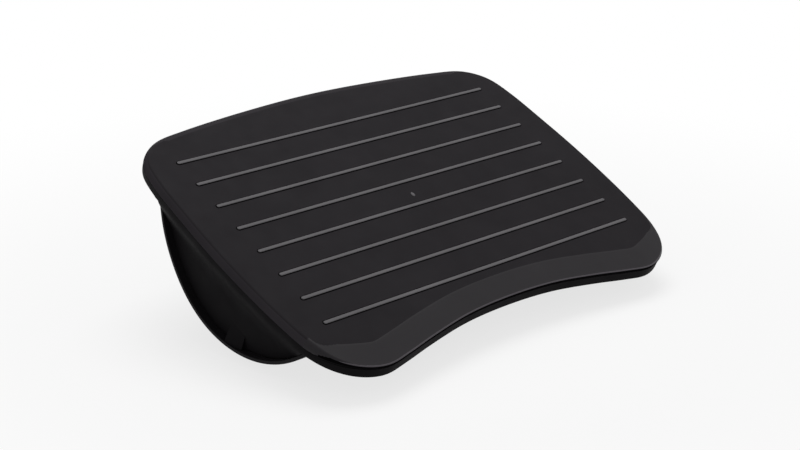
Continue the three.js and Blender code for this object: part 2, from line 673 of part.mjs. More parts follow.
footPlaces.forEach(([x, y], i) => addPiece(base, `rubber_foot_${i + 1}`, footSolid(x, y), look.rubber()));

addPiece(platform, "top_plate", topPlateSolid(), look.plate());
addPiece(platform, "lower_housing", housingSolid(), look.housing());
addPiece(platform, "curved_runner", runnerSolid(), look.runner());
stripPlaces.forEach((y, i) => addPiece(platform, `grip_strip_${i + 1}`,
  stripSolid(y), look.strip()));
housingScrewPlaces.forEach(([x, y], i) => addPiece(platform, `housing_screw_${i + 1}`,
  screwSolid(-floorDrop - seatGap, screwTip, x, y, false), look.steel()));
runnerScrewPlaces.forEach(([x, y], i) => addPiece(platform, `runner_screw_${i + 1}`,
  screwSolid(-skirtDepth, screwTip, x, y, true), look.steel()));

// The platform turns about the drum's arc centre, which lies straight above the base's middle line
const arcCentre = new THREE.Vector3(0, drumCentreBack, drumCentreUp);
arcCentre.applyAxisAngle(new THREE.Vector3(1, 0, 0), tiltRest);
platform.rotation.x = tiltRest;
platform.position.set(0, -arcCentre.y, arcHeight - arcCentre.z);

// Origin: on the floor, under the middle of the whole footrest
assembly.updateMatrixWorld(true);
const bounds = new THREE.Box3().setFromObject(assembly, true);
assembly.position.y = -(bounds.min.y + bounds.max.y) / 2;
assembly.updateMatrixWorld(true);

export default assembly;
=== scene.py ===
# Tilting under desk footrest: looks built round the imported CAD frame.
# Shapes are worked out in millimetres in the platform's or the base's own axes, then placed in the row frame.
import json
import math

import bmesh
import bpy
import numpy as np
from mathutils import Matrix, Vector


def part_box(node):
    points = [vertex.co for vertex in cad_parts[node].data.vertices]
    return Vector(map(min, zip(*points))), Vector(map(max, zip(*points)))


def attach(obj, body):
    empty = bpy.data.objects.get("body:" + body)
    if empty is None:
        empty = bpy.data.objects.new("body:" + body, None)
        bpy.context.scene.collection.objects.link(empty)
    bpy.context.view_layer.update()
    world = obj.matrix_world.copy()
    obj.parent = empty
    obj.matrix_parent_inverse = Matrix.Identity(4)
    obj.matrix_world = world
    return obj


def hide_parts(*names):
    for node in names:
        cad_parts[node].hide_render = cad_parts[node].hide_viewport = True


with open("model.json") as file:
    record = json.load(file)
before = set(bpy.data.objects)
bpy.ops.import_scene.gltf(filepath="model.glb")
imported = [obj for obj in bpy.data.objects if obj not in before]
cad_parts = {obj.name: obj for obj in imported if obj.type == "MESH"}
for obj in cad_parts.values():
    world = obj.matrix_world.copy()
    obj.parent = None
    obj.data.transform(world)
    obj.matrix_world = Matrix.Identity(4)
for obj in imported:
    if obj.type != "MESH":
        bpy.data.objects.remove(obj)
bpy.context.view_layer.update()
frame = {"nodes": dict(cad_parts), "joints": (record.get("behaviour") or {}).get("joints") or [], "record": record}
record = frame["record"]
tilt_joint = frame["joints"][0]

# Units
MM = 0.001
DEG = math.pi / 180
QUARTER = 90 * DEG
HALF = 180 * DEG

# Fits
SEAT_GAP = 0.3
CUT_OVERRUN = 2

# Platform
HALF_WIDTH = 231
BACK_DEPTH = 166.5
FRONT_DEPTH = 173.5
PLATE_THICK = 3
ROLL_WIDTH = 5
ROLL_DROP = 8
BAND_WIDTH = 25
BAND_DROP = 2.4
BAND_EDGE = 1.6
BAND_START_SHARE = 0.7
BAND_TAPER_SHARE = 0.35     # how far the band has set in where its finish reaches its full width
PAINTED_SHADE_START_SHARE = 0.1  # how far it has set in where the front edge's line of painted shade starts
PAINTED_GLINT_START_SHARE = 0.6     # how far it has set in where the painted highlight line above that starts
LINE_TAPER_SHARE = 0.06     # by which each step of the edge lags behind the one below it there
BACK_LIGHT_SHARE = 0.85      # of the depth: where the painted highlight on the back edge starts
BACK_TAPER_SHARE = 0.06     # further back it has its full breadth
BAND_BLEND = 1.2            # short easing where the band meets the field
FRONT_LIP_DROP = 4.6
SIDE_LIP_LAND = 6
FRONT_LIP_LAND = 15
LIP_ROUND = 0.5
ROLL_START = 86 * DEG       # below this the lip's small round takes over
PLATE_RIB = 2
PLATE_RIB_PITCH = 32
PLATE_RIB_SPAN = 196
PLATE_RIB_ROWS = 8
STRIP_COUNT = 8
STRIP_LENGTH = 388
STRIP_PITCH = 32.1
STRIP_WIDTH = 3.7
STRIP_SEAT = 1.5
STRIP_PROUD = 1
STRIP_ROUND = 0.9
GROOVE_GAP = 0.8            # dark gap that shows on each side of a strip
STRIP_PAINTED_SHADE_LEVEL = 0.45    # height up to which a strip's sides are painted dark as shade
MARK_SIZE = (3.4, 5.4)      # moulding mark in the middle of the field
MARK_BACK = -2.6            # below zero: in front of the field's middle
MARK_PROUD = 0.4
MARK_TOP_SHARE = 0.8

# Housing
WALL = 2.8
SKIRT_DEPTH = 15.5
SHADOW_STEP = 1.6           # inset of the step under the front lip
SHADOW_HEIGHT = 1.6
STEP_SLOPE = 0.2            # height over which that step turns out to the wall
WALL_INSET = 0.7
SIDE_WALL_INSET = 0.2
CHEEK_INSET = 11.2
CHEEK_TUCK_DEPTH = 36
CHEEK_KNEE_INSET_SHARE = 0.52
CHEEK_KNEE_DEPTH_SHARE = 0.62
CHEEK_DRAFT = 1.2
CHEEK_SMOOTH = 3            # height over which the wall's bends are evened out
FLOOR_DROP = 12.2
FLOOR_THICK = 2.8
FLOOR_LAP = 6
FORMER_THICK = 2.5
FORMER_SHARES = (-0.658, -0.263, 0.263, 0.658)
FORMER_RIM = 20
SCREW_HOLE = 2.3
BOSS_RADIUS = 4.6

# Half of the platform's outline, as shares of its half width and of its front or back depth
OUTLINE_SHARES = (
    (0, 1), (0.366, 0.979), (0.697, 0.935), (0.838, 0.9), (0.912, 0.835), (0.958, 0.748),
    (0.983, 0.58), (0.995, 0.282), (1, 0), (0.995, -0.268), (0.98, -0.537), (0.956, -0.738),
    (0.91, -0.866), (0.833, -0.957), (0.731, -1), (0.612, -0.975), (0.459, -0.93), (0.238, -0.879),
    (0, -0.8635),
)
LOBE_SHARE = 0.731          # of the half width: where the front reaches furthest
OUTLINE_COUNT = 480
OUTLINE_SMOOTH = 5          # length over which small kinks in the outline are evened out

# Drum
RUNNER_THICK = 3
RIM_INSET = 4.8
FRONT_FILLET = 3
BACK_FILLET = 14
FRONT_FLANGE_SHARE = 0.6
BACK_FLANGE_SHARE = 0.4
LUG_ANGLE = -14.5 * DEG
LUG_HALF_ANGLE = 5 * DEG
LUG_HEIGHT = 24
LUG_INSET = 5.1

# Base
FOOT_HEIGHT = 4
DRUM_LIFT = 10
TRAY_THICK = 3
TRAY_HALF_WIDTH = 155
TRAY_FRONT = -52
TRAY_BACK = 112
TRAY_CORNER = 20
TRAY_RIM_TOP = 12
TRAY_WALL = 2.5
TRAY_EDGE = 1.2
TRAY_RIB_TOP = 10
TRAY_RIB_SHARES = (0.464, 0.732)
CLAMP_PLACE = 98
CRADLE_HALF_WIDTH = 29
CRADLE_ANGLES = (-24 * DEG, 33 * DEG)
PAD_THICK = 1.5
PAD_WIDTH = 11
PAD_OFFSET = 21
PAD_ANGLES = (-22 * DEG, 31 * DEG)
FOOT_RADIUS = 12
FOOT_INSET = 19
FOOT_EASE = 0.8
FOOT_STEM = 3
FOOT_BULB = 4.2
FOOT_BULB_HEIGHT = 3

# Clamps and screws
BOLT_RADIUS = 3
BOLT_HEAD_RADIUS = 6
BOLT_HEAD_THICK = 2.2
BOLT_POCKET_DEPTH = 1.5
BOLT_CHAMFER = 1
DOME_SHARE = 0.8            # flat middle of a rounded head
SLOT_CLEARANCE = 0.5
TILT_UP = 30 * DEG
TILT_BACK = 15 * DEG
LINER_RADIUS = 12
SCREW_RADIUS = 1.75
SCREW_HEAD = 3.6
SCREW_HEAD_THICK = 2.2
COUNTERSINK_THICK = 2
SCREW_ROOF = 0.6
RECESS_WIDTH = 0.9
RECESS_DEPTH = 1.2
RECESS_SPAN_SHARE = 0.62
HOUSING_SCREW_SHARES = ((-0.78, 0.91), (0, 1), (0.78, 0.91), (-0.737, -1), (0.737, -1))
RUNNER_SCREW_SHARES = (-0.79, 0, 0.79)
RUNNER_SCREW_INSET = 6

# Fineness
CURVE_STEPS = 24            # for each stretch between two points of the outline
BELL_REACH = 3              # where the rolling mean stops, in widths of its bell
CHEEK_REACH = 2             # the same for the wall's bends
ARC_STEPS = 96
CIRCLE_STEPS = 3 * ARC_STEPS
SLOT_STEPS = 32
FILLET_STEPS = 10
CORNER_STEPS = 12
LIP_RINGS = 3               # rings of the plate below its rolled edge
ROLL_STEPS = 12
PAINTED_LIGHT_STEPS = 8              # of the roll's steps, those given a painted highlight at the sides and back
PAINTED_SHADE_STEPS = 5          # of the roll's steps, those painted dark at the front as painted shade
WALL_RINGS = 4 * ROLL_STEPS
BAND_STEPS = 5
ROUND_SIDES = 40
SMOOTH_LIMIT = 28 * DEG     # edges sharper than this stay crisp
MERGE_DISTANCE = 2e-7       # metres

# Where the frame puts the platform and the arc centre
mount = next(m for m in record["mounts"] if m["name"] == "foot_platform")
platform_centre = Vector(mount["pos_m"])
platform_axes = Matrix.Rotation(math.atan2(-mount["axis"][1], mount["axis"][2]), 3, "X")
arc_centre = Vector(tilt_joint["pos_m"])
drum_centre = platform_axes.transposed() @ (arc_centre - platform_centre) / MM
DRUM_BACK = drum_centre.y
DRUM_UP = drum_centre.z
ARC_HEIGHT = arc_centre.z / MM
DRUM_RADIUS = ARC_HEIGHT - DRUM_LIFT

# Values that several pieces share
INNER_RADIUS = DRUM_RADIUS - RUNNER_THICK
CHEEK_RADIUS = INNER_RADIUS - SEAT_GAP
SEAT_RADIUS = DRUM_RADIUS + SEAT_GAP + PAD_THICK + SEAT_GAP
FLANGE_TOP = -FLOOR_DROP - SEAT_GAP
FLOOR_TOP = -FLOOR_DROP + FLOOR_THICK
UNDER_SKIRT = -SKIRT_DEPTH - SEAT_GAP
DEEPEST = DRUM_UP - DRUM_RADIUS - CUT_OVERRUN
BEYOND = 2 * HALF_WIDTH
INNER_EDGE = WALL_INSET + WALL
CLAMPS = {"left": -CLAMP_PLACE, "right": CLAMP_PLACE}
FORMER_XS = [share * HALF_WIDTH for share in FORMER_SHARES]
STRIP_PLACES = [((STRIP_COUNT - 1) / 2 - i) * STRIP_PITCH for i in range(STRIP_COUNT)]


# Helpers for numbers
def ramp(value, start, end):
    share = np.clip((value - start) / (end - start), 0, 1)
    return share * share * (3 - 2 * share)


def arc(centre_y, centre_z, radius, start, end, steps):
    """Points along an arc, both ends included, in the Y and Z directions."""
    angles = np.linspace(start, end, steps + 1)
    return [(centre_y + radius * math.cos(a), centre_z + radius * math.sin(a)) for a in angles]


def bell(distances, width):
    """Bell-shaped weights that add up to one."""
    weights = np.exp(-0.5 * (distances / width) ** 2)
    return weights / weights.sum()


def even_out(values, width, spacing):
    """Rolling bell-shaped mean round a closed row of values."""
    reach = int(BELL_REACH * width / spacing) + 1
    steps = np.arange(-reach, reach + 1)
    return sum(w * np.roll(values, k, axis=0) for w, k in zip(bell(steps * spacing, width), steps))


def spaced_evenly(points, count):
    """Points at even distances round a closed row, and its length."""
    closed = np.vstack([points, points[:1]])
    lengths = np.linalg.norm(np.diff(closed, axis=0), axis=1)
    along = np.concatenate([[0], np.cumsum(lengths)])
    places = np.linspace(0, along[-1], count, endpoint=False)
    return np.column_stack([np.interp(places, along, closed[:, k]) for k in (0, 1)]), along[-1]


# The platform's outline
def outline_knots():
    shares = np.array(OUTLINE_SHARES, float)
    depth = np.where(shares[:, 1] > 0, BACK_DEPTH, FRONT_DEPTH)
    right = np.column_stack([shares[:, 0] * HALF_WIDTH, shares[:, 1] * depth])
    left = right[1:-1] * (-1, 1)
    return np.vstack([right[::-1], left])


def centripetal(knots, steps):
    """Closed curve through the knots, with steps points for each stretch."""
    points = []
    shares = np.linspace(0, 1, steps, endpoint=False)[:, None]
    for i in range(len(knots)):
        before, start, end, after = (knots[(i + k) % len(knots)] for k in (-1, 0, 1, 2))
        first, middle, last = (math.sqrt(np.linalg.norm(b - a))
                               for a, b in ((before, start), (start, end), (end, after)))
        leave = ((start - before) / first - (end - before) / (first + middle)
                 + (end - start) / middle) * middle
        arrive = ((end - start) / middle - (after - start) / (middle + last)
                  + (after - end) / last) * middle
        points.append(start + leave * shares + (3 * (end - start) - 2 * leave - arrive) * shares ** 2
                      + (2 * (start - end) + leave + arrive) * shares ** 3)
    return np.vstack(points)


def platform_outline():
    """Even points round the platform, the inward direction there, and how far the front band has set in."""
    points, length = spaced_evenly(centripetal(outline_knots(), CURVE_STEPS), OUTLINE_COUNT)
    points = even_out(points, OUTLINE_SMOOTH, length / OUTLINE_COUNT)
    along = np.roll(points, -1, axis=0) - np.roll(points, 1, axis=0)
    along /= np.linalg.norm(along, axis=1)[:, None]
    inward = np.column_stack([-along[:, 1], along[:, 0]])
    share = np.where(np.abs(points[:, 0]) > LOBE_SHARE * HALF_WIDTH, -points[:, 1] / FRONT_DEPTH,
                     -np.sign(points[:, 1]))
    return points, inward, ramp(share, BAND_START_SHARE, 1)


OUTLINE, INWARD, FRONT = platform_outline()


def mixed(value):
    """Value at each point of the outline, from one for the sides and one for the front."""
    side, front = value if isinstance(value, tuple) else (value, value)
    return side + (front - side) * FRONT


def ring(inset, height):
    """Ring inside the outline. A pair gives the value at the sides and at the front."""
    return np.column_stack([OUTLINE + INWARD * mixed(inset)[:, None], mixed(height)])


# Helpers for solids
def solid(vertices, faces):
    mesh = bpy.data.meshes.new("solid")
    mesh.from_pydata([tuple(v) for v in vertices], [], faces)
    mesh.update()
    piece = bpy.data.objects.new("solid", mesh)
    bpy.context.scene.collection.objects.link(piece)
    return piece


def loft(rings, cap_material=0):
    """Closed solid through rings of equal point counts, lowest ring first."""
    count = len(rings[0])
    faces = [tuple(reversed(range(count)))]
    for low in range(0, (len(rings) - 1) * count, count):
        for i in range(count):
            j = (i + 1) % count
            faces.append((low + i, low + j, low + count + j, low + count + i))
    faces.append(tuple(range(len(rings) * count - count, len(rings) * count)))
    piece = solid(np.vstack(rings), faces)
    piece.data.polygons[len(faces) - 1].material_index = cap_material
    return piece


def drawn_along_x(points, x0, x1):
    """Outline in the Y and Z directions, drawn out along X."""
    row = np.array(points, float)
    turned_right = np.sum(row[:, 0] * np.roll(row[:, 1], -1) - np.roll(row[:, 0], -1) * row[:, 1]) > 0
    if not turned_right:
        row = row[::-1]
    count = len(row)
    vertices = [(x, y, z) for x in (x0, x1) for y, z in row]
    faces = [tuple(reversed(range(count))), tuple(range(count, 2 * count))]
    for i in range(count):
        j = (i + 1) % count
        faces.append((i, j, count + j, count + i))
    return solid(vertices, faces)


def box(x0, x1, y0, y1, z0, z1):
    return drawn_along_x([(y0, z0), (y1, z0), (y1, z1), (y0, z1)], x0, x1)


def turned(profile, x=0, y=0, sides=ROUND_SIDES):
    """Piece turned about a vertical line. The profile holds (radius, height) pairs, the lowest first."""
    vertices = []
    rows = []
    for radius, height in profile:
        if radius == 0:
            rows.append([len(vertices)] * sides)
            vertices.append((x, y, height))
            continue
        rows.append(list(range(len(vertices), len(vertices) + sides)))
        for i in range(sides):
            angle = 2 * math.pi * i / sides
            vertices.append((x + radius * math.cos(angle), y + radius * math.sin(angle), height))
    faces = []
    for low, high in zip(rows, rows[1:]):
        for i in range(sides):
            j = (i + 1) % sides
            corners = list(dict.fromkeys((low[i], low[j], high[j], high[i])))
            if len(corners) > 2:
                faces.append(tuple(corners))
    return solid(vertices, faces)


def post(radius, z0, z1, x, y):
    return turned([(0, z0), (radius, z0), (radius, z1), (0, z1)], x, y)


def combined(operation, target, tools):
    for tool in tools:
        modifier = target.modifiers.new(operation, "BOOLEAN")
        modifier.operation = operation
        modifier.solver = "MANIFOLD"
        modifier.object = tool
    graph = bpy.context.evaluated_depsgraph_get()
    mesh = bpy.data.meshes.new_from_object(target.evaluated_get(graph))
    target.modifiers.clear()
    target.data = mesh
    for tool in tools:
        bpy.data.objects.remove(tool)
    return target


def cut(target, *tools):
    return combined("DIFFERENCE", target, tools)


def join(target, *tools):
    return combined("UNION", target, tools)


def common(target, *tools):
    return combined("INTERSECT", target, tools)


def outline_solid(inset, low, high):
    return loft([ring(inset, low), ring(inset, high)])


def fillet_at(side, radius, level, fillet):
    """Centre of the fillet between a flat under face and the drum's arc, and the angle where they meet."""
    centre_z = level - fillet
    reach = math.sqrt((radius + fillet) ** 2 - (centre_z - DRUM_UP) ** 2)
    return DRUM_BACK + side * reach, centre_z, math.atan2(centre_z - DRUM_UP, side * reach)


def under_line(radius, level, front_round, back_round, front_end, back_end):
    """Under line of the housing or drum, from front to back: straight, fillet, arc, fillet, straight."""
    front_y, front_z, front_angle = fillet_at(-1, radius, level, front_round)
    back_y, back_z, back_angle = fillet_at(1, radius, level, back_round)
    front_turn = (front_angle + HALF) % (2 * HALF)
    return [
        (front_end, level),
        *arc(front_y, front_z, front_round, QUARTER, front_turn, FILLET_STEPS),
        *arc(DRUM_BACK, DRUM_UP, radius, front_angle, back_angle, ARC_STEPS)[1:-1],
        *arc(back_y, back_z, back_round, back_angle + HALF, QUARTER, FILLET_STEPS),
        (back_end, level),
    ]


def drum_sector(inside, outside, level):
    """Part of a ring round the drum's axis, across the whole width, that lies below a level."""
    lean = math.asin((DRUM_UP - level) / outside)
    sector = drawn_along_x([
        *arc(DRUM_BACK, DRUM_UP, outside, lean - HALF, -lean, ARC_STEPS),
        *arc(DRUM_BACK, DRUM_UP, inside, -lean, lean - HALF, ARC_STEPS),
    ], -BEYOND, BEYOND)
    return common(sector, box(-BEYOND, BEYOND, -BEYOND, BEYOND, DEEPEST - CUT_OVERRUN, level))


# Screw places
FRONT_FLANGE_START = fillet_at(-1, DRUM_RADIUS, -SKIRT_DEPTH, FRONT_FILLET)[0]
BACK_FLANGE_START = fillet_at(1, DRUM_RADIUS, -SKIRT_DEPTH, BACK_FILLET)[0]
FRONT_MIDDLE = -OUTLINE_SHARES[-1][1] * FRONT_DEPTH
FRONT_FLANGE_END = FRONT_FLANGE_START - (FRONT_MIDDLE + FRONT_FLANGE_START - INNER_EDGE) * FRONT_FLANGE_SHARE
BACK_FLANGE_END = BACK_FLANGE_START + (BACK_DEPTH - BACK_FLANGE_START - INNER_EDGE) * BACK_FLANGE_SHARE
RUNNER_SCREW_PLACES = [
    (share * HALF_WIDTH, y) for share in RUNNER_SCREW_SHARES
    for y in (FRONT_FLANGE_END + RUNNER_SCREW_INSET, BACK_FLANGE_END - RUNNER_SCREW_INSET)
]


def housing_screw_place(x_share, y_share):
    """Halfway between the drum's flange and the wall."""
    if y_share > 0:
        return x_share * HALF_WIDTH, (y_share * BACK_DEPTH - INNER_EDGE + BACK_FLANGE_END) / 2
    return x_share * HALF_WIDTH, (y_share * FRONT_DEPTH + INNER_EDGE + FRONT_FLANGE_END) / 2


HOUSING_SCREW_PLACES = [housing_screw_place(*shares) for shares in HOUSING_SCREW_SHARES]
ALL_SCREW_PLACES = HOUSING_SCREW_PLACES + RUNNER_SCREW_PLACES
SCREW_TIP = -STRIP_SEAT - 2 * SEAT_GAP - SCREW_ROOF


# Materials
NOISE_SPAN = (0.3, 0.7)     # between which most of the noise lies
NOISE_DETAIL = 3
TONE_BLOB = 60              # millimetres over which a moulding's tone changes
TONE_SPREAD = 0.08
GLOSS_BLOB = 18
GLOSS_DETAIL = 4
GLOSS_SPREAD = 0.05
SOFT_EDGE = 0.5             # breadth over which a moulding's edge looks rounded
FINE_EDGE = 0.2
BEVEL_SAMPLES = 6
METAL_SPECULAR = 0.5
METAL_DETAIL = 2
METAL_BLOB = 5
METAL_SHADE = 0.9           # of its colour in the darker blobs
METAL_DEPTH = 0.01
STREAK_SIZE = 0.5
STREAK_STRETCH = (1, 1, 0.1)
STREAK_SMOOTHER = 0.08
STREAK_ROUGHER = 0.1
WEAVE_ROUGHNESS = 0.85
WEAVE_SPECULAR = 0.2
WEAVE_CHECKS = 900          # to the metre
WEAVE_SHADE = 0.6
WEAVE_DEPTH = 0.1


def principled(name, color, roughness, specular, metallic=0):
    material = bpy.data.materials.new(name)
    material.use_nodes = True
    nodes = material.node_tree.nodes
    shader = nodes["Principled BSDF"]
    shader.inputs["Base Color"].default_value = (*color, 1)
    shader.inputs["Roughness"].default_value = roughness
    shader.inputs["Specular IOR Level"].default_value = specular
    shader.inputs["Metallic"].default_value = metallic
    return material, nodes, material.node_tree.links, shader


def place_noise(nodes, links, size, detail, stretch=(1, 1, 1)):
    """Noise whose blobs are about size millimetres across, fixed to the piece."""
    place = nodes.new("ShaderNodeTexCoord")
    mapping = nodes.new("ShaderNodeMapping")
    mapping.inputs["Scale"].default_value = stretch
    noise = nodes.new("ShaderNodeTexNoise")
    noise.inputs["Scale"].default_value = 1 / (size * MM)
    noise.inputs["Detail"].default_value = detail
    links.new(place.outputs["Object"], mapping.inputs["Vector"])
    links.new(mapping.outputs["Vector"], noise.inputs["Vector"])
    return noise.outputs["Fac"]


def remapped(nodes, links, value, low, high):
    spread = nodes.new("ShaderNodeMapRange")
    spread.inputs["From Min"].default_value = NOISE_SPAN[0]
    spread.inputs["From Max"].default_value = NOISE_SPAN[1]
    spread.inputs["To Min"].default_value = low
    spread.inputs["To Max"].default_value = high
    links.new(value, spread.inputs["Value"])
    return spread.outputs["Result"]


def two_tone(nodes, links, value, first, second):
    mix = nodes.new("ShaderNodeMix")
    mix.data_type = "RGBA"
    mix.inputs["A"].default_value = (*first, 1)
    mix.inputs["B"].default_value = (*second, 1)
    links.new(value, mix.inputs["Factor"])
    return mix.outputs["Result"]


def scaled(color, factor):
    return tuple(channel * factor for channel in color)


def bumped(nodes, links, shader, height, depth):
    bump = nodes.new("ShaderNodeBump")
    bump.inputs["Distance"].default_value = depth * MM
    links.new(height, bump.inputs["Height"])
    links.new(bump.outputs["Normal"], shader.inputs["Normal"])
    return bump


def moulded(name, color, roughness, specular, grain, depth, edge=SOFT_EDGE):
    """Moulded plastic or rubber: spark-eroded grain, slow change of tone and gloss, softened edges."""
    material, nodes, links, shader = principled(name, color, roughness, specular)
    slow = remapped(nodes, links, place_noise(nodes, links, TONE_BLOB, NOISE_DETAIL), 0, 1)
    links.new(two_tone(nodes, links, slow, scaled(color, 1 - TONE_SPREAD), scaled(color, 1 + TONE_SPREAD)),
              shader.inputs["Base Color"])
    patches = place_noise(nodes, links, GLOSS_BLOB, GLOSS_DETAIL)
    links.new(remapped(nodes, links, patches, roughness - GLOSS_SPREAD, roughness + GLOSS_SPREAD),
              shader.inputs["Roughness"])
    bevel = nodes.new("ShaderNodeBevel")
    bevel.samples = BEVEL_SAMPLES
    bevel.inputs["Radius"].default_value = edge * MM
    bump = bumped(nodes, links, shader, place_noise(nodes, links, grain, NOISE_DETAIL), depth)
    bump.inputs["Strength"].default_value = 1
    links.new(bevel.outputs["Normal"], bump.inputs["Normal"])
    return material


def metal(name, color, roughness):
    """Plated or cast metal with fine streaks."""
    material, nodes, links, shader = principled(name, color, roughness, METAL_SPECULAR, metallic=1)
    streaks = place_noise(nodes, links, STREAK_SIZE, METAL_DETAIL, stretch=STREAK_STRETCH)
    links.new(remapped(nodes, links, streaks, roughness - STREAK_SMOOTHER, roughness + STREAK_ROUGHER),
              shader.inputs["Roughness"])
    tone = place_noise(nodes, links, METAL_BLOB, METAL_DETAIL)
    links.new(two_tone(nodes, links, tone, scaled(color, METAL_SHADE), color), shader.inputs["Base Color"])
    bumped(nodes, links, shader, streaks, METAL_DEPTH)
    return material


def woven(name, color):
    """Friction lining: a dark woven fabric pressed in resin."""
    material, nodes, links, shader = principled(name, color, WEAVE_ROUGHNESS, WEAVE_SPECULAR)
    place = nodes.new("ShaderNodeTexCoord")
    weave = nodes.new("ShaderNodeTexChecker")
    weave.inputs["Scale"].default_value = WEAVE_CHECKS
    weave.inputs["Color1"].default_value = (*color, 1)
    weave.inputs["Color2"].default_value = (*scaled(color, WEAVE_SHADE), 1)
    links.new(place.outputs["Object"], weave.inputs["Vector"])
    links.new(weave.outputs["Color"], shader.inputs["Base Color"])
    bumped(nodes, links, shader, weave.outputs["Fac"], WEAVE_DEPTH)
    return material


# Name, colour, roughness and specular level; the grain's breadth and depth are in millimetres
BLACK = (0.0172, 0.0156, 0.0176)
FIELD = moulded("field_plastic", scaled(BLACK, 1.2), 0.58, 0.03, grain=1.1, depth=0.03)
# Lighter copy of the black plastic on the rolled edge at the sides and back: painted light on the roll.
ROLL_PAINTED_LIGHT = moulded("roll_painted_light_plastic", scaled(BLACK, 2.15), 0.7, 0.0, grain=1.1, depth=0.02)
# Lighter copy of the black plastic on the back's rolled edge: a painted highlight.
BACK_PAINTED_LIGHT = moulded("back_painted_light_plastic", scaled(BLACK, 1.95), 0.57, 0.03, grain=0.8, depth=0.015)
BORDER = moulded("border_plastic", scaled(BLACK, 1.3), 0.45, 0.1, grain=0.5, depth=0.006)
# Much lighter copy of the black plastic on the front edge's upper steps: a painted highlight line.
PAINTED_GLINT = moulded("painted_highlight_edge_plastic", scaled(BLACK, 4.5), 0.4, 0.2, grain=0.5, depth=0.004)
# Near-black copy of the black plastic on the front edge's lower steps: painted shade under the lip.
PAINTED_SHADE = moulded("painted_shade_plastic", scaled(BLACK, 0.15), 0.8, 0.0, grain=0.8, depth=0.01)
# Black plastic darkened far below the platform's: painted shade on the lower housing under the platform.
HOUSING_PAINTED_SHADE = moulded("housing_plastic", scaled(BLACK, 0.34), 0.6, 0.03, grain=0.8, depth=0.01)
RUNNER = moulded("runner_plastic", scaled(BLACK, 0.55), 0.5, 0.05, grain=0.6, depth=0.008)
TRAY = moulded("tray_plastic", scaled(BLACK, 0.8), 0.6, 0.06, grain=0.8, depth=0.015)
STRIP = moulded("strip_rubber", (0.135, 0.13, 0.137), 0.75, 0.2, grain=0.7, depth=0.02, edge=FINE_EDGE)
RUBBER = moulded("foot_rubber", (0.010, 0.010, 0.011), 0.85, 0.15, grain=0.9, depth=0.03)
PAD = moulded("pad_plastic", (0.52, 0.51, 0.47), 0.4, 0.3, grain=0.8, depth=0.005, edge=FINE_EDGE)
STEEL = metal("plated_steel", (0.62, 0.63, 0.65), 0.32)
CAST = metal("cast_shoe", (0.48, 0.485, 0.49), 0.5)
LINER = woven("friction_lining", (0.06, 0.045, 0.032))


# Helpers for pieces
def crisp_and_smooth(mesh):
    """Merges doubled points, drops what that leaves loose, and smooths all but the sharp edges."""
    shape = bmesh.new()
    shape.from_mesh(mesh)
    bmesh.ops.remove_doubles(shape, verts=shape.verts, dist=MERGE_DISTANCE)
    bmesh.ops.delete(shape, geom=[edge for edge in shape.edges if not edge.link_faces], context="EDGES")
    for face in shape.faces:
        face.smooth = True
    for edge in shape.edges:
        edge.smooth = len(edge.link_faces) == 2 and edge.calc_face_angle(0) < SMOOTH_LIMIT
    shape.to_mesh(mesh)
    shape.free()


PLATFORM_PLACE = Matrix.Translation(platform_centre) @ platform_axes.to_4x4() @ Matrix.Scale(MM, 4)
BASE_PLACE = Matrix.Translation((0, arc_centre.y, 0)) @ Matrix.Scale(MM, 4)


def add_piece(piece, name, body, slot, materials, *nodes):
    """Names a finished solid, places it in the row frame and lets it stand for its CAD nodes."""
    piece.data.transform(PLATFORM_PLACE if body == "platform" else BASE_PLACE)
    piece.name = name
    piece.data.name = name
    slots = piece.data.materials
    # A boolean leaves an empty slot for a tool without a material.
    while slots and slots[-1] is None:
        slots.pop()
    if not slots:
        for material in materials:
            slots.append(material)
    crisp_and_smooth(piece.data)
    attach(piece, body)
    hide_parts(*nodes)


# Top plate: rolled edge, front band, grooves for the strips
def plate_profile():
    """Rings from the cavity's top, down its side, under the lip, round the edge and over to the field."""
    rings = [
        ring((SIDE_LIP_LAND, FRONT_LIP_LAND), -PLATE_THICK),
        ring((SIDE_LIP_LAND, FRONT_LIP_LAND), (-ROLL_DROP, -FRONT_LIP_DROP)),
        ring((SIDE_WALL_INSET, LIP_ROUND), (-ROLL_DROP, -FRONT_LIP_DROP)),
    ]
    for k in range(ROLL_STEPS + 1):
        roll = ROLL_START * (1 - k / ROLL_STEPS)
        edge = QUARTER * k / ROLL_STEPS
        rings.append(ring(
            (ROLL_WIDTH * (1 - math.sin(roll)), BAND_EDGE * (1 - math.cos(edge))),
            (-ROLL_DROP * (1 - math.cos(roll)), -BAND_DROP - BAND_EDGE * (1 - math.sin(edge))),
        ))
    for k in range(1, BAND_STEPS + 1):
        across = BAND_EDGE + (BAND_WIDTH - BAND_BLEND - BAND_EDGE) * k / BAND_STEPS
        height = -BAND_DROP * (BAND_WIDTH - across) / (BAND_WIDTH - BAND_EDGE)
        rings.append(ring((ROLL_WIDTH + BAND_BLEND * k / BAND_STEPS, across), (0, height)))
    for step in (0, 1):
        rings.append(ring((ROLL_WIDTH + (2 + step) * BAND_BLEND, BAND_WIDTH + step * BAND_BLEND), 0))
    return rings


